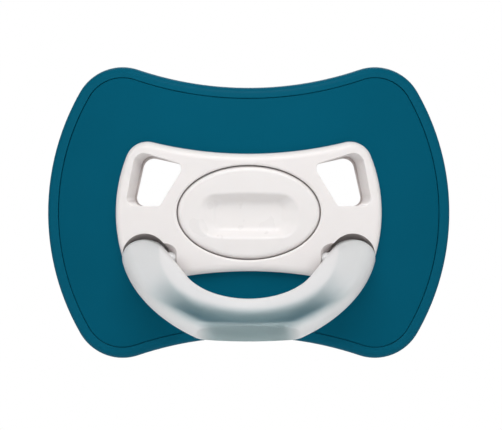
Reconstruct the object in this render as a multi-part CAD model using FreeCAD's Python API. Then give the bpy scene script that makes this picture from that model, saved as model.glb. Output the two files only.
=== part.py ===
import FreeCAD, Part
import math
import os
from FreeCAD import Vector

# Pacifier (soother). +Z is up, the front faces -Y and the teat points along +Y.
# The origin is on the teat's axis, in the plane where the lips meet the back plate.
# All sizes are in millimetres.

# The shield bulges to the front. Each layer of it lies between two surfaces of one family of
# tori that share an axis parallel to X. "Depth" counts from the front of the teal panel
# towards the face, and is negative in front of it.
BEND_ACROSS = 46.0        # radius of the front surface across the width
BEND_UP = 100.0           # radius of the front surface over the height
STACK_DEPTH = 3.8         # from the panel's front to the face side, at the middle
APEX_Y = -STACK_DEPTH
TORUS_RADIUS = BEND_UP - BEND_ACROSS
TORUS_CENTRE = Vector(0, APEX_Y + BEND_UP, 0)
BLOCK_HALF_ANGLE = 50.0    # how far the curved surfaces are drawn across, each way
BLOCK_TURN = 40.0          # and how far they are turned over the height
BLOCK_FAR_Y = 30.0
PRISM_FROM = -9.0
PRISM_LENGTH = 24.0
FAR = 40.0                # reach of the blocks that cut or keep a whole side
TOUCH = 0.01              # how near an edge lies to count as on a curve

# Layers, as depths
PLATE_FRONT = -1.4
PANEL_FRONT = 0.0
PANEL_BACK = 1.0
SHELL_BACK = 2.6
COVER_BACK = STACK_DEPTH

# Butterfly outlines: half width, half height at the waist, half height at the peaks,
# radius of the bowed sides and radius of the four corners
SHIELD = (27.5, 16.97, 19.86, 32.95, 6.7)
PLATE = (18.1, 7.97, 9.64, 20.7, 3.04)
SEAM_INSET = 1.45         # where the front panel ends, inside the shield's edge
SEAM_GAP = 0.06
SEAM_ROUND = 0.1
SHIELD_ROUND_FRONT = 0.95
SHIELD_ROUND_BACK = 1.2
BODY_INSET = 1.0          # the part of the plate that goes through the shield
BODY_GAP = 0.1
BODY_LAP = 0.5            # how far the body reaches into the flange
SEAT_PROUD = 1.0          # how far the panel's seat is cut in front of the panel
PLATE_ROUND = 1.1
COVER_ROUND = 0.8

# Oval plug in the middle of the plate, with its dish and its spigot
PLUG = (9.7, 6.35)
PLUG_GAP = 0.08
PLUG_SINK = 0.15          # how far its face lies below the plate's
PLUG_ROUND = 0.8
WINDOW_ROUND = 0.3        # the plate's edge round the plug
PLUG_SEAT_Y = -2.85
DISH_MOUTH = (15.2, 6.1, 2.6)   # length, height and corner radius where it meets the plug's face
DISH_MOUTH_Z = -0.4
DISH_FLOOR = (9.3, 3.8, 1.2)
DISH_FLOOR_Z = -0.5
DISH_DEPTH = 1.6
DISH_PROUD = 0.9          # how far the dish's tool stands in front of the plug
DISH_RIM_ROUND = 0.5
DISH_FLOOR_ROUND = 0.9
LEDGE_BACK_Y = -2.05
SPIGOT_END_Y = 2.6
SPIGOT_CORE = (3.2, 2.3)
SPIGOT_GAP = 0.02         # the spigot fills the teat's bore

# Teat: a round profile about Y, flattened in height
TEAT_FLATNESS = 0.77
TEAT_WALL = 1.3
NECK_Y = 5.0
NECK_RADIUS = 5.5
BULB_Y = 18.5
BULB_RADIUS = 8.4
FLANGE = (8.2, 5.8)
FLANGE_GAP = 0.05
NECK_HOLE_GAP = 0.15
FLEX_Y = 4.5              # the neck bends about this line, parallel to X
FLEX_RADIUS = 4.8
FLEX_GAP = 0.3

# Vents, on the right side: corner points (x, z) and the radius of each corner
VENT_CORNERS = ((15.5, 8.5, 1.5), (9.2, 6.55, 0.55), (9.2, 5.6, 0.9), (12.1, 0.89, 0.35), (17.0, 0.89, 1.1))
VENT_TOP_Z = VENT_CORNERS[0][1]
VENT_OUTER_X = 14.0       # corners beyond this one are on the outer wall
VENT_OUTER_LEAN = 0.29    # how much the outer wall leans in, per mm of depth
VENT_TOP_LEAN = 0.13
VENT_FACE_Y = -2.7        # where the vent has its full size
VENT_FROM_Y = -5.0
VENT_TO_Y = 3.0
VENT_ROUND = 0.1
COVER_VENT_STEP = 0.35    # how much smaller the vent in the back cover is
COVER_VENT_Y = 1.2

# Snap pegs that join the back cover to the plate, at these (x, z) and mirrored
PEGS = ((7.4, 6.2), (7.4, -6.2), (14.6, -1.0))
PEG_RADIUS = 0.7
PEG_LENGTH = 1.4
PEG_GAP = 0.02
PEG_CHAMFER = 0.15
PEG_ROOT = 0.6            # how far it reaches into the cover

# Ring handle: it hinges about a line parallel to X in the plate's lower corners
HINGE_Y = -2.8
HINGE_Z = -6.2
KNUCKLE_X = 14.1          # middle of each round end, on the hinge line
KNUCKLE_RADIUS = 3.1
RING_SIDE_RADIUS = 25.0   # outer sides
RING_SIDE_TURN = 10.6     # degrees from level, from a round end to the middle of its side's arc
RING_TIP_REACH = 17.0     # from the hinge line
RING_TIP_RADIUS = 50.0
RING_CORNER_RADIUS = 3.2  # between the sides and the tip
RING_HOLE_Z = -0.6        # middle of the hole, as the ring hangs down
RING_HOLE_RADIUS = 9.25
RING_THICKNESS = 3.2
RING_ROUND = 1.5
RING_TIP_FLAT = 16.35     # the flat on the tip, from the hinge line
RING_FORWARD = 52.0       # degrees from hanging straight down, as stored
RING_DOWN_STOP = 35.0     # degrees that it swings down from there
RING_UP_STOP = 50.0
RING_GAP = 0.25           # round the knuckles
SWEEP_GAP = 0.22          # round the legs over their travel
PIN_RADIUS = 0.8
PIN_GAP = 0.06
PIN_INNER_X = 8.7
PIN_CHAMFER = 0.2

ACROSS = Vector(1, 0, 0)
BACKWARD = Vector(0, 1, 0)
UP = Vector(0, 0, 1)
ORIGIN = Vector(0, 0, 0)
HINGE = Vector(0, HINGE_Y, HINGE_Z)
KNUCKLE = Vector(KNUCKLE_X, 0, 0)


def behind(depth):
    """The solid behind the curved surface at this depth: an arc across, turned about the far axis."""
    radius = BEND_ACROSS - depth
    centre_y = APEX_Y + BEND_ACROSS
    half = math.radians(BLOCK_HALF_ANGLE)
    right = Vector(radius * math.sin(half), centre_y - radius * math.cos(half), 0)
    left = Vector(-right.x, right.y, 0)
    far_right = Vector(right.x, BLOCK_FAR_Y, 0)
    far_left = Vector(left.x, BLOCK_FAR_Y, 0)
    edges = [Part.Arc(left, Vector(0, centre_y - radius, 0), right), Part.LineSegment(right, far_right),
             Part.LineSegment(far_right, far_left), Part.LineSegment(far_left, left)]
    face = Part.Face(Part.Wire([edge.toShape() for edge in edges]))
    face.rotate(TORUS_CENTRE, ACROSS, -BLOCK_TURN / 2)
    return face.revolve(TORUS_CENTRE, ACROSS, BLOCK_TURN)


def depth_of(point):
    """Depth of a point, measured square to the curved surfaces."""
    from_axis = math.hypot(point.y - TORUS_CENTRE.y, point.z)
    return BEND_ACROSS - math.hypot(from_axis - TORUS_RADIUS, point.x)


def surface_y(x, z, depth):
    """Y of the curved surface at this depth, at (x, z)."""
    from_axis = TORUS_RADIUS + math.sqrt((BEND_ACROSS - depth) ** 2 - x ** 2)
    return TORUS_CENTRE.y - math.sqrt(from_axis ** 2 - z ** 2)


def towards(start, end, distance):
    """The point at this distance from start, in the direction of end."""
    step = end - start
    return start + step * (distance / step.Length)


def butterfly(spec, inset=0.0):
    """Closed outline of tangent arcs in the XZ plane, drawn inside the outline by inset."""
    half_width, waist, peak, side_radius, corner_radius = spec
    corner_z = peak - corner_radius
    side_x = half_width - side_radius
    corner_x = side_x + math.sqrt((side_radius - corner_radius) ** 2 - corner_z ** 2)
    waist_radius = (corner_x ** 2 + (corner_z - waist) ** 2 - corner_radius ** 2) / (2 * (peak - waist))
    side = Vector(side_x, 0, 0)
    corner = Vector(corner_x, 0, corner_z)
    hollow = Vector(0, 0, waist + waist_radius)
    side_end = towards(side, corner, side_radius - inset)
    waist_end = towards(corner, hollow, corner_radius - inset)
    corner_middle = towards(corner, (side_end + waist_end) * 0.5, corner_radius - inset)
    middle_top = Vector(0, 0, waist - inset)
    middle_side = Vector(half_width - inset, 0, 0)

    def at(point, sign_x, sign_z):
        return Vector(point.x * sign_x, 0, point.z * sign_z)

    arcs = []
    for sx in (1, -1):
        arcs.append(Part.Arc(at(side_end, sx, -1), at(middle_side, sx, 1), at(side_end, sx, 1)))
        for sz in (1, -1):
            arcs.append(Part.Arc(at(side_end, sx, sz), at(corner_middle, sx, sz), at(waist_end, sx, sz)))
    for sz in (1, -1):
        arcs.append(Part.Arc(at(waist_end, 1, sz), at(middle_top, 1, sz), at(waist_end, -1, sz)))
    return Part.Wire(Part.__sortEdges__([arc.toShape() for arc in arcs]))


def prism(wire, start=PRISM_FROM, length=PRISM_LENGTH):
    """A wire in the XZ plane, extruded along +Y from start."""
    face = Part.Face(wire)
    face.translate(Vector(0, start, 0))
    return face.extrude(BACKWARD * length)


def layer(solid, front, back):
    """What lies of a prism between two depths."""
    return solid.common(behind(front)).cut(behind(back))


def oval(half_width, half_height):
    """Ellipse in the XZ plane."""
    ellipse = Part.Ellipse(Vector(half_width, 0, 0), Vector(0, 0, half_height), ORIGIN)
    return Part.Wire(ellipse.toShape())


def middle_of(edge):
    """The point half way along an edge's parameter range."""
    return edge.valueAt((edge.FirstParameter + edge.LastParameter) / 2)


def is_at_depth(edge, depth):
    """Whether an edge's middle lies on the curved surface at this depth."""
    return abs(depth_of(middle_of(edge)) - depth) < TOUCH


def edges_at(shape, wire, depth):
    """Edges that run along an outline at a depth."""
    found = []
    for edge in shape.Edges:
        middle = middle_of(edge)
        flat = Part.Vertex(middle.x, 0, middle.z)
        if is_at_depth(edge, depth) and wire.distToShape(flat)[0] < TOUCH:
            found.append(edge)
    return found


def mirror_point(point):
    """The same point on the other side."""
    return Vector(-point.x, point.y, point.z)


def mirrored(shape):
    """The same shape on the other side."""
    return shape.mirror(ORIGIN, ACROSS)


def both_sides(shape):
    """A tool and its mirror image."""
    return [shape, mirrored(shape)]


def rounded_polygon(corners):
    """Closed wire in the XZ plane through (x, z, radius) corners, each rounded by an arc."""
    count = len(corners)
    points = [Vector(x, 0, z) for x, z, radius in corners]
    edges = []
    starts = []
    ends = []
    for i in range(count):
        here = points[i]
        before = (points[i - 1] - here).normalize()
        after = (points[(i + 1) % count] - here).normalize()
        half_turn = before.getAngle(after) / 2
        radius = corners[i][2]
        reach = radius / math.tan(half_turn)
        bisector = (before + after).normalize()
        centre = here + bisector * (radius / math.sin(half_turn))
        starts.append(here + before * reach)
        ends.append(here + after * reach)
        edges.append(Part.Arc(starts[i], centre - bisector * radius, ends[i]).toShape())
    ordered = []
    for i in range(count):
        ordered.append(edges[i])
        ordered.append(Part.LineSegment(ends[i], starts[(i + 1) % count]).toShape())
    return Part.Wire(ordered)


def vent_outline(y, step=0.0):
    """The right vent's outline at this Y, made smaller at its outer side and outer top corner by step."""
    lean = y - VENT_FACE_Y
    outer = VENT_OUTER_LEAN * lean + step
    top = VENT_TOP_LEAN * lean + step
    corners = []
    for x, z, radius in VENT_CORNERS:
        is_outer = x > VENT_OUTER_X
        is_top = z == VENT_TOP_Z
        corners.append((x - outer * is_outer, z - top * is_top, radius))
    return rounded_polygon(corners)


def vent_tool():
    """The right vent through the plate: a hole whose outer and top walls lean in."""
    front = vent_outline(VENT_FROM_Y)
    back = vent_outline(VENT_TO_Y)
    front.translate(BACKWARD * VENT_FROM_Y)
    back.translate(BACKWARD * VENT_TO_Y)
    return Part.makeLoft([front, back], True, True)


def cover_vent_tool():
    """The right vent through the back cover, a step smaller than the plate's."""
    return prism(vent_outline(COVER_VENT_Y, COVER_VENT_STEP))


def rounded_rectangle(length, height, radius, y, z):
    """Wire square to Y, with its middle at z."""
    right = length / 2
    top = height / 2
    corners = ((right, top), (-right, top), (-right, -top), (right, -top))
    wire = rounded_polygon([(x, z_corner, radius) for x, z_corner in corners])
    wire.translate(Vector(0, y, z))
    return wire


def crossing(first, first_radius, second, second_radius):
    """Where two circles in the XZ plane cross, on the left of the way from first to second."""
    way = second - first
    along = (way.Length ** 2 + first_radius ** 2 - second_radius ** 2) / (2 * way.Length)
    aside = math.sqrt(first_radius ** 2 - along ** 2)
    way.normalize()
    return first + way * along + Vector(-way.z, 0, way.x) * aside


def ring_outline(grow):
    """The ring's outline, hanging straight down from the origin, as tangent arcs and two straight legs."""
    tip = UP * (RING_TIP_RADIUS - RING_TIP_REACH)
    hole = Vector(0, 0, RING_HOLE_Z)
    rise = math.radians(180 - RING_SIDE_TURN)
    side = KNUCKLE + Vector(math.cos(rise), 0, math.sin(rise)) * (RING_SIDE_RADIUS - KNUCKLE_RADIUS)
    corner = crossing(tip, RING_TIP_RADIUS - RING_CORNER_RADIUS, side, RING_SIDE_RADIUS - RING_CORNER_RADIUS)
    knuckle_end = towards(side, KNUCKLE, RING_SIDE_RADIUS + grow)
    side_end = towards(side, corner, RING_SIDE_RADIUS + grow)
    side_middle = towards(side, (knuckle_end + side_end) * 0.5, RING_SIDE_RADIUS + grow)
    tip_end = towards(tip, corner, RING_TIP_RADIUS + grow)
    corner_middle = towards(corner, (side_end + tip_end) * 0.5, RING_CORNER_RADIUS + grow)
    tip_bottom = tip - UP * (RING_TIP_RADIUS + grow)
    span = KNUCKLE - hole
    turn = math.atan2(span.z, span.x) - math.acos((RING_HOLE_RADIUS + KNUCKLE_RADIUS) / span.Length)
    square = Vector(math.cos(turn), 0, math.sin(turn))
    leg_bottom = hole + square * (RING_HOLE_RADIUS - grow)
    leg_top = KNUCKLE - square * (KNUCKLE_RADIUS + grow)
    hole_bottom = hole - UP * (RING_HOLE_RADIUS - grow)
    knuckle_top = KNUCKLE + UP * (KNUCKLE_RADIUS + grow)
    edges = [Part.Arc(mirror_point(tip_end), tip_bottom, tip_end).toShape(),
             Part.Arc(mirror_point(leg_bottom), hole_bottom, leg_bottom).toShape()]
    right = [Part.Arc(tip_end, corner_middle, side_end), Part.Arc(side_end, side_middle, knuckle_end),
             Part.Arc(knuckle_end, knuckle_top, leg_top), Part.LineSegment(leg_top, leg_bottom)]
    for piece in right:
        edges += both_sides(piece.toShape())
    return Part.Wire(Part.__sortEdges__(edges))


def ring_blank(grow):
    """The ring without its flat and its pins, grown all round."""
    thickness = RING_THICKNESS + 2 * grow
    blank = prism(ring_outline(grow), -thickness / 2, thickness)
    rims = [e for e in blank.Edges if abs(abs(e.BoundBox.Center.y) - thickness / 2) < TOUCH
            and e.BoundBox.YLength < TOUCH]
    return blank.makeFillet(RING_ROUND + grow, rims)


def swung(shape, forward):
    """A shape drawn hanging down at the origin, swung forward and put on the hinge."""
    moved = shape.copy()
    moved.rotate(ORIGIN, ACROSS, -forward)
    moved.translate(HINGE)
    return moved


def make_ring_handle():
    """The clear ring: wide at its tip, with a flat there, and a pin inside each end."""
    ring = ring_blank(0)
    ring = ring.cut(Part.makeBox(2 * FAR, 2 * FAR, FAR, Vector(-FAR, -FAR, -RING_TIP_FLAT - FAR)))
    pin_length = KNUCKLE_X - PIN_INNER_X
    pin = Part.makeCylinder(PIN_RADIUS, pin_length, Vector(PIN_INNER_X, 0, 0), ACROSS)
    end = [e for e in pin.Edges if abs(e.BoundBox.Center.x - PIN_INNER_X) < TOUCH]
    pin = pin.makeChamfer(PIN_CHAMFER, end)
    ring = ring.fuse(both_sides(pin)).removeSplitter()
    return swung(ring, RING_FORWARD)


def ring_sweep():
    """Everything in the right corner that the ring passes through, with its clearance."""
    lowest = RING_FORWARD - RING_DOWN_STOP
    highest = RING_FORWARD + RING_UP_STOP
    socket = Part.makeSphere(KNUCKLE_RADIUS + RING_GAP, HINGE + KNUCKLE)
    right_half = Part.makeBox(FAR, 2 * FAR, 2 * FAR, Vector(0, -FAR, -FAR))
    blank = ring_blank(SWEEP_GAP).common(right_half)
    middle_plane = Part.Face(ring_outline(SWEEP_GAP))
    sweeps = []
    for bottom in (-FAR, 0):
        half = middle_plane.common(Part.makeBox(FAR, FAR, FAR, Vector(0, -FAR / 2, bottom)))
        sweeps.append(swung(half, lowest).Faces[0].revolve(HINGE, ACROSS, lowest - highest))
    return [socket, swung(blank, lowest), swung(blank, highest)] + sweeps


def pin_hole():
    """The hole for the ring's right pin."""
    end = HINGE + ACROSS * (PIN_INNER_X - RING_GAP)
    return Part.makeCylinder(PIN_RADIUS + PIN_GAP, KNUCKLE_X - end.x, end, ACROSS)


def make_shield_shell():
    """The teal rear shell: a full layer, with a raised rim around the front panel's seat."""
    whole = prism(butterfly(SHIELD))
    shell = layer(whole, PANEL_FRONT, SHELL_BACK)
    seat = layer(prism(butterfly(SHIELD, SEAM_INSET)), PANEL_FRONT - SEAT_PROUD, PANEL_BACK)
    window = prism(butterfly(PLATE, BODY_INSET - BODY_GAP))
    shell = shell.cut(seat)
    shell = shell.makeFillet(SHIELD_ROUND_FRONT, edges_at(shell, butterfly(SHIELD), PANEL_FRONT))
    shell = shell.makeFillet(SHIELD_ROUND_BACK, edges_at(shell, butterfly(SHIELD), SHELL_BACK))
    shell = shell.makeFillet(SEAM_ROUND, edges_at(shell, butterfly(SHIELD, SEAM_INSET), PANEL_FRONT))
    return shell.cut(window)


def make_front_panel():
    """The teal panel, let into the shell's front."""
    panel = layer(prism(butterfly(SHIELD, SEAM_INSET + SEAM_GAP)), PANEL_FRONT, PANEL_BACK)
    rim = edges_at(panel, butterfly(SHIELD, SEAM_INSET + SEAM_GAP), PANEL_FRONT)
    panel = panel.makeFillet(SEAM_ROUND, rim)
    panel = panel.cut(prism(butterfly(PLATE, BODY_INSET - BODY_GAP)))
    for tool in ring_sweep():
        panel = panel.cut(both_sides(tool))
    return panel


def make_centre_plate():
    """The white plate: a flange on the panel and a body through the shield, with all its openings."""
    flange = layer(prism(butterfly(PLATE)), PLATE_FRONT, PANEL_FRONT)
    flange = flange.makeFillet(PLATE_ROUND, edges_at(flange, butterfly(PLATE), PLATE_FRONT))
    body = layer(prism(butterfly(PLATE, BODY_INSET)), PANEL_FRONT - BODY_LAP, SHELL_BACK)
    plate = flange.fuse(body)
    plug_seat = prism(oval(PLUG[0] + PLUG_GAP, PLUG[1] + PLUG_GAP), PRISM_FROM, PLUG_SEAT_Y - PRISM_FROM)
    plate = plate.cut(plug_seat)
    plate = plate.cut(prism(oval(SPIGOT + PLUG_GAP, SPIGOT * TEAT_FLATNESS + PLUG_GAP)))
    plate = plate.cut(prism(oval(FLANGE[0] + FLANGE_GAP, FLANGE[1] + FLANGE_GAP), LEDGE_BACK_Y))
    plate = plate.cut(both_sides(vent_tool()))
    lips = [e for e in plate.Edges if is_at_depth(e, PLATE_FRONT)]
    vent_lips = [e for e in lips if e.BoundBox.ZMin > 0 and e.BoundBox.ZMax < VENT_TOP_Z]
    plate = plate.makeFillet(VENT_ROUND, vent_lips)
    window_lip = [e for e in plate.Edges if e.isClosed() and is_at_depth(e, PLATE_FRONT)]
    plate = plate.makeFillet(WINDOW_ROUND, window_lip)
    for tool in ring_sweep() + [pin_hole()] + [peg_hole(x, z) for x, z in PEGS]:
        plate = plate.cut(both_sides(tool))
    return plate.removeSplitter()


def peg_hole(x, z):
    """The blind hole for one snap peg."""
    end = surface_y(x, z, SHELL_BACK) - PEG_LENGTH - PEG_GAP
    return Part.makeCylinder(PEG_RADIUS + PEG_GAP, FAR, Vector(x, end, z), BACKWARD)


def peg(x, z):
    """One snap peg of the back cover."""
    end = surface_y(x, z, SHELL_BACK) - PEG_LENGTH
    solid = Part.makeCylinder(PEG_RADIUS, PEG_LENGTH + PEG_ROOT, Vector(x, end, z), BACKWARD)
    return solid.makeChamfer(PEG_CHAMFER, [e for e in solid.Edges if abs(e.BoundBox.Center.y - end) < TOUCH])


def make_back_cover():
    """The white cover on the face side, which clamps the teat's flange and the shield."""
    cover = layer(prism(butterfly(PLATE)), SHELL_BACK, COVER_BACK)
    cover = cover.makeFillet(COVER_ROUND, edges_at(cover, butterfly(PLATE), COVER_BACK))
    hole = prism(oval(NECK_ROOT + NECK_HOLE_GAP, NECK_ROOT * TEAT_FLATNESS + NECK_HOLE_GAP))
    cover = cover.cut([hole] + both_sides(cover_vent_tool()))
    for x, z in PEGS:
        cover = cover.fuse(both_sides(peg(x, z)))
    return cover.removeSplitter()


def cut_dish(plug, face_depth):
    """Cut the capsule-shaped dish: walls that slope down to a flat floor, all softly rounded."""
    face_y = APEX_Y + face_depth
    floor_y = face_y + DISH_DEPTH
    widening = 1 + DISH_PROUD / DISH_DEPTH
    wide = [at_floor + (at_mouth - at_floor) * widening for at_mouth, at_floor in zip(DISH_MOUTH, DISH_FLOOR)]
    wide_z = DISH_FLOOR_Z + (DISH_MOUTH_Z - DISH_FLOOR_Z) * widening
    mouth = rounded_rectangle(*wide, face_y - DISH_PROUD, wide_z)
    floor = rounded_rectangle(*DISH_FLOOR, floor_y, DISH_FLOOR_Z)
    plug = plug.cut(Part.makeLoft([mouth, floor], True, True))
    rim = [e for e in plug.Edges if is_at_depth(e, face_depth) and e.BoundBox.ZLength < DISH_MOUTH[1] + 1]
    plug = plug.makeFillet(DISH_RIM_ROUND, rim)
    bottom = [e for e in plug.Edges if abs(middle_of(e).y - floor_y) < TOUCH]
    return plug.makeFillet(DISH_FLOOR_ROUND, bottom)


def make_oval_plug():
    """The white plug: an oval face with a dish in it, and a hollow spigot behind."""
    face_depth = PLATE_FRONT + PLUG_SINK
    plug = prism(oval(*PLUG), PRISM_FROM, PLUG_SEAT_Y - PRISM_FROM).common(behind(face_depth))
    plug = plug.makeFillet(PLUG_ROUND, edges_at(plug, oval(*PLUG), face_depth))
    plug = cut_dish(plug, face_depth)
    length = SPIGOT_END_Y - PLUG_SEAT_Y
    block = Part.makeBox(2 * FAR, length, 2 * FAR, Vector(-FAR, PLUG_SEAT_Y, -FAR))
    spigot = teat_form(TEAT_WALL + SPIGOT_GAP).common(block)
    foot = prism(oval(SPIGOT, SPIGOT * TEAT_FLATNESS), PLUG_SEAT_Y, LEDGE_BACK_Y - PLUG_SEAT_Y)
    core = prism(oval(*SPIGOT_CORE), PLUG_SEAT_Y, length)
    return plug.fuse(spigot.fuse(foot).cut(core)).removeSplitter()


def neck_arc_radius():
    """Radius of the hollow of the neck that runs tangent into the bulb."""
    span = (BULB_Y - NECK_Y) ** 2 + NECK_RADIUS ** 2 - BULB_RADIUS ** 2
    return span / (2 * (BULB_RADIUS - NECK_RADIUS))


def root_radius(wall):
    """Half width at the teat's straight root of the form drawn inside its skin by wall."""
    arc = neck_arc_radius()
    return NECK_RADIUS + arc - math.sqrt((arc + wall) ** 2 - NECK_Y ** 2)


NECK_ROOT = root_radius(0)
SPIGOT = root_radius(TEAT_WALL + SPIGOT_GAP)


def teat_form(wall):
    """Solid teat without its flange, drawn inside the outer skin by wall."""
    arc = neck_arc_radius() + wall
    hollow = Vector(NECK_RADIUS + neck_arc_radius(), NECK_Y, 0)
    bulb = Vector(0, BULB_Y, 0)
    foot = Vector(0, LEDGE_BACK_Y, 0)
    start = Vector(root_radius(wall), LEDGE_BACK_Y, 0)
    root = Vector(root_radius(wall), 0, 0)
    join = towards(hollow, bulb, arc)
    neck_middle = towards(hollow, (root + join) * 0.5, arc)
    tip = bulb + BACKWARD * (BULB_RADIUS - wall)
    bulb_middle = towards(bulb, (join + tip) * 0.5, BULB_RADIUS - wall)
    edges = [Part.LineSegment(foot, start), Part.LineSegment(start, root), Part.Arc(root, neck_middle, join),
             Part.Arc(join, bulb_middle, tip), Part.LineSegment(tip, foot)]
    face = Part.Face(Part.Wire([edge.toShape() for edge in edges]))
    form = face.revolve(ORIGIN, BACKWARD, 360)
    flatten = FreeCAD.Matrix()
    flatten.scale(1, 1, TEAT_FLATNESS)
    return form.transformGeometry(flatten)


def make_teat():
    """The hollow teat with its flange, as (root, bulb): the neck is parted where it bends."""
    teat = teat_form(0)
    flange = prism(oval(*FLANGE), LEDGE_BACK_Y).cut(behind(SHELL_BACK))
    teat = teat.fuse(flange).cut(teat_form(TEAT_WALL))
    inner = Part.makeCylinder(FLEX_RADIUS - FLEX_GAP / 2, 2 * FAR, Vector(-FAR, FLEX_Y, 0), ACROSS)
    outer = Part.makeCylinder(FLEX_RADIUS + FLEX_GAP / 2, 2 * FAR, Vector(-FAR, FLEX_Y, 0), ACROSS)
    before = Part.makeBox(2 * FAR, FAR, 2 * FAR, Vector(-FAR, FLEX_Y - FAR, -FAR))
    root = teat.common(before.fuse(inner))
    bulb = teat.cut(before.fuse(outer))
    return root, bulb


def save(name, shape):
    """Write one sub-part and print what it is."""
    shape.exportStep("parts/" + name + ".step")
    box = shape.optimalBoundingBox()
    print("%-14s solids %d valid %s volume %8.1f  x %6.2f..%5.2f y %6.2f..%5.2f z %6.2f..%5.2f" % (
        name, len(shape.Solids), shape.isValid(), shape.Volume,
        box.XMin, box.XMax, box.YMin, box.YMax, box.ZMin, box.ZMax))


def main():
    os.makedirs("parts", exist_ok=True)
    save("shield_shell", make_shield_shell())
    save("front_panel", make_front_panel())
    save("centre_plate", make_centre_plate())
    save("back_cover", make_back_cover())
    save("oval_plug", make_oval_plug())
    root, bulb = make_teat()
    save("teat_root", root)
    save("teat_bulb", bulb)
    save("ring_handle", make_ring_handle())


main()
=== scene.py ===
import math

import bpy
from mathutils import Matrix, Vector


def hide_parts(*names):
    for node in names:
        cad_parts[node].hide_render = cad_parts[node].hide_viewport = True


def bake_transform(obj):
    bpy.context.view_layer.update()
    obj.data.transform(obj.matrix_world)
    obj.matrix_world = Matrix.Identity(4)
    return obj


# A pacifier (soother) seen square from the front. Metres, +Z up, the front faces -Y.
MM = 0.001

# Camera: a long lens far in front, aimed a little to the right of the shield's middle and below it
CAMERA_DISTANCE = 1.0
CAMERA_REACH = 10.0
VIEW_WIDTH = 68.4 * MM
VIEW_CENTRE = (0.31 * MM, -0.34 * MM)
SENSOR = 36.0

# Stage: a round floor of matt paper, well below the object
FLOOR_Z = -0.12
FLOOR_RADIUS = 0.9
FLOOR_SEGMENTS = 96
PAPER_COLOURS = ((0.8, 0.8, 0.8), (0.83, 0.83, 0.83))
PAPER_PATCHES = 6.0
PAPER_ROUGHNESS = 0.9

# Soft boxes, all turned to the middle of the shield: name, place, width and height, power in watts
SOFT_BOXES = (
    ("top_box", (0.0, -0.5, 0.52), (0.6, 0.45), 3.55),
    ("left_box", (-0.6, -0.4, 0.12), (0.35, 0.5), 0.7),
    ("right_box", (0.6, -0.4, 0.12), (0.35, 0.5), 0.7),
    ("back_box", (0.0, 0.6, 0.45), (0.8, 0.5), 3.0),
)
SHIELD_MIDDLE = Vector((0.0, 0.0, 0.0))

# Surround: even grey where it lights and reflects, and white straight to the camera. Rays through
# clear pieces see it dim in front and white behind, by how far they point to the back
WHITE = (1.0, 1.0, 1.0, 1.0)
WORLD_LIGHT = 0.3
SEEN_DIRECTLY = 1.0
SEEN_THROUGH = (0.15, 1.0)
BACKDROP_EDGE = (0.1, 0.7)

# Noise: nearly all of a pattern lies in this range. Each kind has so many lumps to the metre
NOISE_RANGE = (0.25, 0.75)
NOISE_DETAIL = 3.0
COLOUR_PATCHES = 90.0
SHEEN_PATCHES = 260.0
MOULD_GRAIN = 9000.0

# Moulded plastic
SHEEN_UNEVEN = 0.04
EDGE_SAMPLES = 6
SINK_DEPTH = 0.8 * MM
SINK_BY_COLOUR = (1.0, 0.9, 0.8)
PLASTICS = {
    "teal_plastic": {
        "colours": ((0.0003, 0.095, 0.158), (0.0004, 0.099, 0.165)),
        "rough": 0.42,
        "specular": 0.04,
        "grain_height": 0.002 * MM,
        "soft_edge": 0.1 * MM,
    },
    "teal_panel": {
        "colours": ((0.0003, 0.09, 0.15), (0.0004, 0.093, 0.156)),
        "rough": 0.5,
        "specular": 0.025,
        "grain_height": 0.003 * MM,
        "soft_edge": 0.06 * MM,
    },
    "white_plastic": {
        "colours": ((0.84, 0.805, 0.795), (0.85, 0.815, 0.805)),
        "rough": 0.34,
        "specular": 0.4,
        "grain_height": 0.002 * MM,
        "soft_edge": 0.04 * MM,
        "milky": 0.12,
        "has_painted_shade": True,
    },
    "white_plug": {
        "colours": ((0.84, 0.81, 0.8), (0.845, 0.815, 0.805)),
        "rough": 0.3,
        "specular": 0.45,
        "grain_height": 0.0015 * MM,
        "soft_edge": 0.08 * MM,
        "milky": 0.12,
    },
    "white_cover": {
        "colours": ((0.85, 0.81, 0.8), (0.87, 0.83, 0.82)),
        "rough": 0.38,
        "specular": 0.4,
        "grain_height": 0.002 * MM,
        "soft_edge": 0.08 * MM,
        "milky": 0.12,
        "has_painted_shade": True,
    },
}
PLASTIC_OF = {
    "shield_shell": "teal_plastic",
    "front_panel": "teal_panel",
    "centre_plate": "white_plastic",
    "oval_plug": "white_plug",
    "back_cover": "white_cover",
}

# White pieces get painted shade in their grooves and pockets: the colour darkens by the share of open
# space around a place
PAINTED_SHADE_TINT = (0.45, 0.4, 0.39)
PAINTED_SHADE_REACH = 2.5 * MM
PAINTED_SHADE_EDGE = (0.1, 0.9)
PAINTED_SHADE_SAMPLES = 8

# Ring: clear along the middle of its tip and cloudy along its legs. Its inner and outer edges carry
# painted highlights, milky white strips in its colour and clearness. The measure for the legs counts
# out and up. The inner edge goes by the distance from the middle of the ring's hole, and each outer
# edge by the distance from a point across the ring
LEG_CLIMB = 0.85
FROST_FROM = -4.0 * MM
FROST_TO = 7.0 * MM
FROST_UNEVEN = 2.0 * MM
FROST_PATCHES = 180.0
LEG_FROST = 0.9
HOLE_MIDDLE = (0.0, -3.273 * MM, -6.569 * MM)
HOLE_HIGHLIGHT = (11.9 * MM, 14.5 * MM)
SIDE_MIDDLE = (-7.43 * MM, 0.376 * MM, -3.719 * MM)
SIDE_HIGHLIGHT = (23.3 * MM, 25.2 * MM)

# The ring's plastic where it is clear, and where it is cloudy or carries the painted highlights
RING_FINISH = {"Transmission Weight": (0.95, 0.3), "Roughness": (0.28, 0.3)}
RING_TINTS = ((0.4, 0.6, 0.625), (0.98, 0.97, 0.972))
RING_IOR = 1.46
RING_GRAIN = 5200.0
RING_GRAIN_HEIGHT = 0.004 * MM

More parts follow.
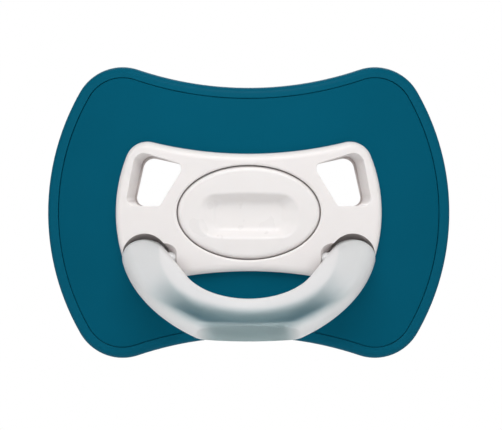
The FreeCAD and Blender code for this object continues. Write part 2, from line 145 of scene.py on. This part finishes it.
# Silicone
SILICONE_COLOURS = ((0.9, 0.9, 0.87), (0.95, 0.95, 0.93))
SILICONE_COLOUR_PATCHES = 120.0
SILICONE_ROUGHNESS = (0.33, 0.4)
SILICONE_SHEEN_PATCHES = 300.0
SILICONE_GRAIN = 6000.0
SILICONE_GRAIN_HEIGHT = 0.001 * MM
SILICONE_FINISH = {"Transmission Weight": 0.5, "IOR": 1.41, "Sheen Weight": 0.08}

# Teat: a round profile about Y, flattened in height; the same sizes as the CAD solids it stands for
TEAT_FLATNESS = 0.77
TEAT_WALL = 1.3 * MM
NECK_Y = 5.0 * MM
NECK_RADIUS = 5.5 * MM
BULB_Y = 18.5 * MM
BULB_RADIUS = 8.4 * MM
FLANGE = (8.2 * MM, 5.8 * MM)
FLANGE_FRONT = -2.05 * MM
FLANGE_BACK = -1.3 * MM
TEAT_SIDES = 128
NECK_STEPS = 26
BULB_STEPS = 34


def new_material(name):
    """A material with a Principled shader, as (material, nodes, links, shader)."""
    material = bpy.data.materials.new(name)
    material.use_nodes = True
    tree = material.node_tree
    return material, tree.nodes, tree.links, tree.nodes["Principled BSDF"]


def noise(nodes, links, scale):
    """A noise pattern fixed to the piece, with about scale lumps to the metre."""
    place = nodes.new("ShaderNodeTexCoord")
    pattern = nodes.new("ShaderNodeTexNoise")
    pattern.inputs["Scale"].default_value = scale
    pattern.inputs["Detail"].default_value = NOISE_DETAIL
    links.new(place.outputs["Object"], pattern.inputs["Vector"])
    return pattern.outputs["Fac"]


def math_node(nodes, links, operation, *values):
    """One step of arithmetic on sockets and numbers."""
    step = nodes.new("ShaderNodeMath")
    step.operation = operation
    for socket, value in zip(step.inputs, values):
        if isinstance(value, float):
            socket.default_value = value
        else:
            links.new(value, socket)
    return step.outputs["Value"]


def distance(nodes, links, place, point):
    """How far a place is from a fixed point."""
    step = nodes.new("ShaderNodeVectorMath")
    step.operation = "DISTANCE"
    step.inputs[1].default_value = point
    links.new(place, step.inputs[0])
    return step.outputs["Value"]


def ranged(nodes, links, value, start, end, low, high):
    """Low up to start, high from end on, and a smooth change between them."""
    ramp = nodes.new("ShaderNodeMapRange")
    ramp.interpolation_type = "SMOOTHSTEP"
    ramp.inputs["From Min"].default_value = start
    ramp.inputs["From Max"].default_value = end
    ramp.inputs["To Min"].default_value = low
    ramp.inputs["To Max"].default_value = high
    links.new(value, ramp.inputs["Value"])
    return ramp.outputs["Result"]


def mixed(nodes, links, share, first, second):
    """The first value where share is 0 and the second where it is 1."""
    mix = nodes.new("ShaderNodeMix")
    for name, value in (("Factor", share), ("A", first), ("B", second)):
        if isinstance(value, float):
            mix.inputs[name].default_value = value
        else:
            links.new(value, mix.inputs[name])
    return mix.outputs["Result"]


def tinted(nodes, links, share, first, second):
    """The first colour where share is 0 and the second where it is 1."""
    mix = nodes.new("ShaderNodeMix")
    mix.data_type = "RGBA"
    for name, value in (("A", first), ("B", second)):
        if isinstance(value, tuple):
            mix.inputs[name].default_value = (*value, 1.0)
        else:
            links.new(value, mix.inputs[name])
    links.new(share, mix.inputs["Factor"])
    return mix.outputs["Result"]


def spread(nodes, links, scale, low, high):
    """A noise pattern that runs from low to high."""
    return ranged(nodes, links, noise(nodes, links, scale), *NOISE_RANGE, low, high)


def mottle(nodes, links, colours, scale):
    """Slow changes between two near colours."""
    return tinted(nodes, links, spread(nodes, links, scale, 0.0, 1.0), *colours)


def painted_shade_in_recesses(nodes, links, colour):
    """The colour, mixed with a darker one in grooves and pockets: painted shade."""
    nearby = nodes.new("ShaderNodeAmbientOcclusion")
    nearby.samples = PAINTED_SHADE_SAMPLES
    nearby.inputs["Distance"].default_value = PAINTED_SHADE_REACH
    openness = ranged(nodes, links, nearby.outputs["AO"], *PAINTED_SHADE_EDGE, 0.0, 1.0)
    return tinted(nodes, links, openness, PAINTED_SHADE_TINT, colour)


def grain(nodes, links, shader, scale, height, soft_edge):
    """Fine grain from the mould. Edges look softened by the radius soft_edge, where it isn't 0."""
    bump = nodes.new("ShaderNodeBump")
    bump.inputs["Strength"].default_value = 1.0
    bump.inputs["Distance"].default_value = height
    links.new(noise(nodes, links, scale), bump.inputs["Height"])
    if soft_edge > 0:
        bevel = nodes.new("ShaderNodeBevel")
        bevel.samples = EDGE_SAMPLES
        bevel.inputs["Radius"].default_value = soft_edge
        links.new(bevel.outputs["Normal"], bump.inputs["Normal"])
    links.new(bump.outputs["Normal"], shader.inputs["Normal"])


def plastic(name, colours, rough, specular, grain_height, soft_edge, milky=0.0, has_painted_shade=False):
    """Moulded plastic: slow colour changes, uneven sheen and fine grain; milky lets light sink in."""
    material, nodes, links, shader = new_material(name)
    colour = mottle(nodes, links, colours, COLOUR_PATCHES)
    # Painted shade: the colour darkens in grooves and pockets, where less light reaches
    if has_painted_shade:
        colour = painted_shade_in_recesses(nodes, links, colour)
    links.new(colour, shader.inputs["Base Color"])
    uneven = spread(nodes, links, SHEEN_PATCHES, rough - SHEEN_UNEVEN, rough + SHEEN_UNEVEN)
    links.new(uneven, shader.inputs["Roughness"])
    grain(nodes, links, shader, MOULD_GRAIN, grain_height, soft_edge)
    shader.inputs["Specular IOR Level"].default_value = specular
    if milky > 0:
        shader.inputs["Subsurface Weight"].default_value = milky
        shader.inputs["Subsurface Radius"].default_value = SINK_BY_COLOUR
        shader.inputs["Subsurface Scale"].default_value = SINK_DEPTH
    return material


def ring_frost_and_highlights(nodes, links):
    """How cloudy the ring is at a place, from 0 along the middle of its tip to 1 at its edges, where
    the whiteness is painted highlight.
    """
    place = nodes.new("ShaderNodeTexCoord").outputs["Object"]
    split = nodes.new("ShaderNodeSeparateXYZ")
    links.new(place, split.inputs["Vector"])
    aside = math_node(nodes, links, "ABSOLUTE", split.outputs["X"])
    climb = math_node(nodes, links, "MULTIPLY_ADD", split.outputs["Z"], LEG_CLIMB, aside)
    patches = noise(nodes, links, FROST_PATCHES)
    along = math_node(nodes, links, "MULTIPLY_ADD", patches, FROST_UNEVEN, climb)
    at_legs = ranged(nodes, links, along, FROST_FROM, FROST_TO, 0.0, LEG_FROST)
    # Painted highlight: a milky white strip just inside the edge of the ring's hole
    from_hole = distance(nodes, links, place, HOLE_MIDDLE)
    hole_highlight = ranged(nodes, links, from_hole, *HOLE_HIGHLIGHT, 1.0, 0.0)
    # Painted highlight: milky white strips along the ring's outer edges
    mirrored = nodes.new("ShaderNodeCombineXYZ")
    for socket, value in zip(mirrored.inputs, (aside, split.outputs["Y"], split.outputs["Z"])):
        links.new(value, socket)
    from_side_middle = distance(nodes, links, mirrored.outputs["Vector"], SIDE_MIDDLE)
    side_highlight = ranged(nodes, links, from_side_middle, *SIDE_HIGHLIGHT, 0.0, 1.0)
    legs_and_hole_highlight = math_node(nodes, links, "MAXIMUM", at_legs, hole_highlight)
    return math_node(nodes, links, "MAXIMUM", legs_and_hole_highlight, side_highlight)


def clear_plastic():
    """Clear plastic of the ring, cloudy along its legs, with painted highlights along its edges."""
    material, nodes, links, shader = new_material("clear_plastic")
    cloud_and_highlight = ring_frost_and_highlights(nodes, links)
    links.new(tinted(nodes, links, cloud_and_highlight, *RING_TINTS), shader.inputs["Base Color"])
    for socket, (clear, cloudy) in RING_FINISH.items():
        links.new(mixed(nodes, links, cloud_and_highlight, clear, cloudy), shader.inputs[socket])
    grain(nodes, links, shader, RING_GRAIN, RING_GRAIN_HEIGHT, 0.0)
    shader.inputs["IOR"].default_value = RING_IOR
    return material


def silicone():
    """Soft clear silicone: cloudy, with a dull skin that dust and fingers leave uneven."""
    material, nodes, links, shader = new_material("silicone")
    colour = mottle(nodes, links, SILICONE_COLOURS, SILICONE_COLOUR_PATCHES)
    links.new(colour, shader.inputs["Base Color"])
    uneven = spread(nodes, links, SILICONE_SHEEN_PATCHES, *SILICONE_ROUGHNESS)
    links.new(uneven, shader.inputs["Roughness"])
    grain(nodes, links, shader, SILICONE_GRAIN, SILICONE_GRAIN_HEIGHT, 0.0)
    for socket, value in SILICONE_FINISH.items():
        shader.inputs[socket].default_value = value
    return material


def floor_material():
    """Pale matt studio paper."""
    material, nodes, links, shader = new_material("studio_paper")
    links.new(mottle(nodes, links, PAPER_COLOURS, PAPER_PATCHES), shader.inputs["Base Color"])
    shader.inputs["Roughness"].default_value = PAPER_ROUGHNESS
    return material


def paint(piece, material):
    """Gives a piece one material in place of what it has."""
    piece.data.materials.clear()
    piece.data.materials.append(material)


def paint_cad_pieces(pieces):
    """The finishes of the pieces that CAD made."""
    plastics = {name: plastic(name, **finish) for name, finish in PLASTICS.items()}
    for piece, name in PLASTIC_OF.items():
        paint(pieces[piece], plastics[name])
    paint(pieces["ring_handle"], clear_plastic())


def arc_points(centre, radius, start, end, steps):
    """Points (r, y) on an arc, from angle start to angle end."""
    points = []
    for i in range(steps + 1):
        angle = start + (end - start) * i / steps
        points.append((centre[0] + radius * math.cos(angle), centre[1] + radius * math.sin(angle)))
    return points


def teat_profile(wall):
    """Points (r, y) from the root to near the tip, drawn inside the outer skin by wall."""
    span = (BULB_Y - NECK_Y) ** 2 + NECK_RADIUS ** 2 - BULB_RADIUS ** 2
    neck_arc = span / (2 * (BULB_RADIUS - NECK_RADIUS))
    hollow = (NECK_RADIUS + neck_arc, NECK_Y)
    root_angle = math.pi + math.asin(NECK_Y / (neck_arc + wall))
    join_angle = math.atan2(BULB_Y - hollow[1], -hollow[0])
    neck = arc_points(hollow, neck_arc + wall, root_angle, join_angle, NECK_STEPS)
    bulb = arc_points((0.0, BULB_Y), BULB_RADIUS - wall, join_angle - math.pi, math.pi / 2, BULB_STEPS)
    return neck + bulb[1:-1]


def oval_loop(half_width, half_height, y):
    """One loop of points about Y."""
    loop = []
    for i in range(TEAT_SIDES):
        angle = 2 * math.pi * i / TEAT_SIDES
        loop.append((half_width * math.cos(angle), y, half_height * math.sin(angle)))
    return loop


def flattened_loop(radius, y):
    """A loop as flat as the teat is."""
    return oval_loop(radius, radius * TEAT_FLATNESS, y)


def loop_edges(loop):
    """The edges of one loop, as pairs of point numbers. Loops are counted from 0."""
    first = loop * TEAT_SIDES
    return [(first + i, first + (i + 1) % TEAT_SIDES) for i in range(TEAT_SIDES)]


def band(loop, next_loop):
    """The faces between two loops."""
    return [(a, b, d, c) for (a, b), (c, d) in zip(loop_edges(loop), loop_edges(next_loop))]


def outer_cap(loop, tip):
    """The faces from a loop to a tip point, turned outwards."""
    return [(a, b, tip) for a, b in loop_edges(loop)]


def inner_cap(loop, tip):
    """The faces from a loop to a tip point, turned inwards."""
    return [(b, a, tip) for a, b in loop_edges(loop)]


def make_teat():
    """The hollow teat in one soft piece: flange, neck and bulb, with its inner skin."""
    outer = teat_profile(0.0)
    inner = teat_profile(TEAT_WALL)
    loops = [flattened_loop(inner[0][0], FLANGE_FRONT)]
    loops.append(oval_loop(*FLANGE, FLANGE_FRONT))
    loops.append(oval_loop(*FLANGE, FLANGE_BACK))
    loops.append(flattened_loop(outer[0][0], FLANGE_BACK))
    loops += [flattened_loop(radius, y) for radius, y in outer]
    first_inner = len(loops)
    loops += [flattened_loop(radius, y) for radius, y in inner]
    last_outer = first_inner - 1
    last_inner = len(loops) - 1

    points = [point for loop in loops for point in loop]
    outer_tip = len(points)
    points.append((0.0, BULB_Y + BULB_RADIUS, 0.0))
    inner_tip = len(points)
    points.append((0.0, BULB_Y + BULB_RADIUS - TEAT_WALL, 0.0))

    faces = []
    for k in range(last_outer):
        faces += band(k, k + 1)
    faces += outer_cap(last_outer, outer_tip)
    for k in range(first_inner, last_inner):
        faces += band(k + 1, k)
    faces += band(first_inner, 0)
    faces += inner_cap(last_inner, inner_tip)

    mesh = bpy.data.meshes.new("teat")
    mesh.from_pydata(points, [], faces)
    mesh.validate()
    mesh.shade_smooth()
    teat = bpy.data.objects.new("teat", mesh)
    bpy.context.scene.collection.objects.link(teat)
    paint(teat, silicone())
    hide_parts("teat_root", "teat_bulb")
    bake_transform(teat)


def make_floor():
    """A round pale floor, well below the object."""
    points = [(0.0, 0.0, FLOOR_Z)]
    for i in range(FLOOR_SEGMENTS):
        angle = 2 * math.pi * i / FLOOR_SEGMENTS
        points.append((FLOOR_RADIUS * math.cos(angle), FLOOR_RADIUS * math.sin(angle), FLOOR_Z))
    faces = []
    for i in range(FLOOR_SEGMENTS):
        faces.append((0, 1 + i, 1 + (i + 1) % FLOOR_SEGMENTS))
    mesh = bpy.data.meshes.new("floor")
    mesh.from_pydata(points, [], faces)
    floor = bpy.data.objects.new("floor", mesh)
    bpy.context.scene.collection.objects.link(floor)
    paint(floor, floor_material())


def softbox(name, place, size, power):
    """A rectangular area light that faces the object."""
    light = bpy.data.lights.new(name, "AREA")
    light.shape = "RECTANGLE"
    light.size, light.size_y = size
    light.energy = power
    lamp = bpy.data.objects.new(name, light)
    bpy.context.scene.collection.objects.link(lamp)
    lamp.location = place
    lamp.rotation_euler = (SHIELD_MIDDLE - Vector(place)).to_track_quat("-Z", "Y").to_euler()


def make_lights():
    """Soft studio light: mostly from above, with a gentle fill from both sides and a box behind."""
    for box in SOFT_BOXES:
        softbox(*box)


def make_world():
    """The surround. It differs for light, for the camera and for rays through clear pieces."""
    world = bpy.data.worlds.new("studio")
    world.use_nodes = True
    nodes = world.node_tree.nodes
    links = world.node_tree.links
    place = nodes.new("ShaderNodeTexCoord")
    split = nodes.new("ShaderNodeSeparateXYZ")
    links.new(place.outputs["Generated"], split.inputs["Vector"])
    backdrop = ranged(nodes, links, split.outputs["Y"], *BACKDROP_EDGE, *SEEN_THROUGH)
    path = nodes.new("ShaderNodeLightPath")
    strength = mixed(nodes, links, path.outputs["Is Transmission Ray"], WORLD_LIGHT, backdrop)
    strength = mixed(nodes, links, path.outputs["Is Camera Ray"], strength, SEEN_DIRECTLY)
    surround = nodes["Background"]
    surround.inputs["Color"].default_value = WHITE
    links.new(strength, surround.inputs["Strength"])
    bpy.context.scene.world = world


def make_camera():
    """A long lens, level with the shield and square to it."""
    data = bpy.data.cameras.new("camera")
    data.sensor_width = SENSOR
    data.lens = SENSOR * CAMERA_DISTANCE / VIEW_WIDTH
    data.clip_end = CAMERA_REACH
    camera = bpy.data.objects.new("camera", data)
    bpy.context.scene.collection.objects.link(camera)
    camera.location = (VIEW_CENTRE[0], -CAMERA_DISTANCE, VIEW_CENTRE[1])
    camera.rotation_euler = (math.pi / 2, 0.0, 0.0)
    bpy.context.scene.camera = camera


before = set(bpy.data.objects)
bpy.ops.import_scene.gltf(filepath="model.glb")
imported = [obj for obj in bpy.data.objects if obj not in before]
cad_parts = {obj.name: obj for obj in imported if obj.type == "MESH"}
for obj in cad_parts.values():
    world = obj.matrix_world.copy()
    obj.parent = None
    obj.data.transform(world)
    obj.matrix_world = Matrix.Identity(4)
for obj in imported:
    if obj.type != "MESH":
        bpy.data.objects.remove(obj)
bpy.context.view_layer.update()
paint_cad_pieces(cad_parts)
make_teat()
make_floor()
make_lights()
make_world()
make_camera()
bpy.context.scene.view_settings.view_transform = "Standard"
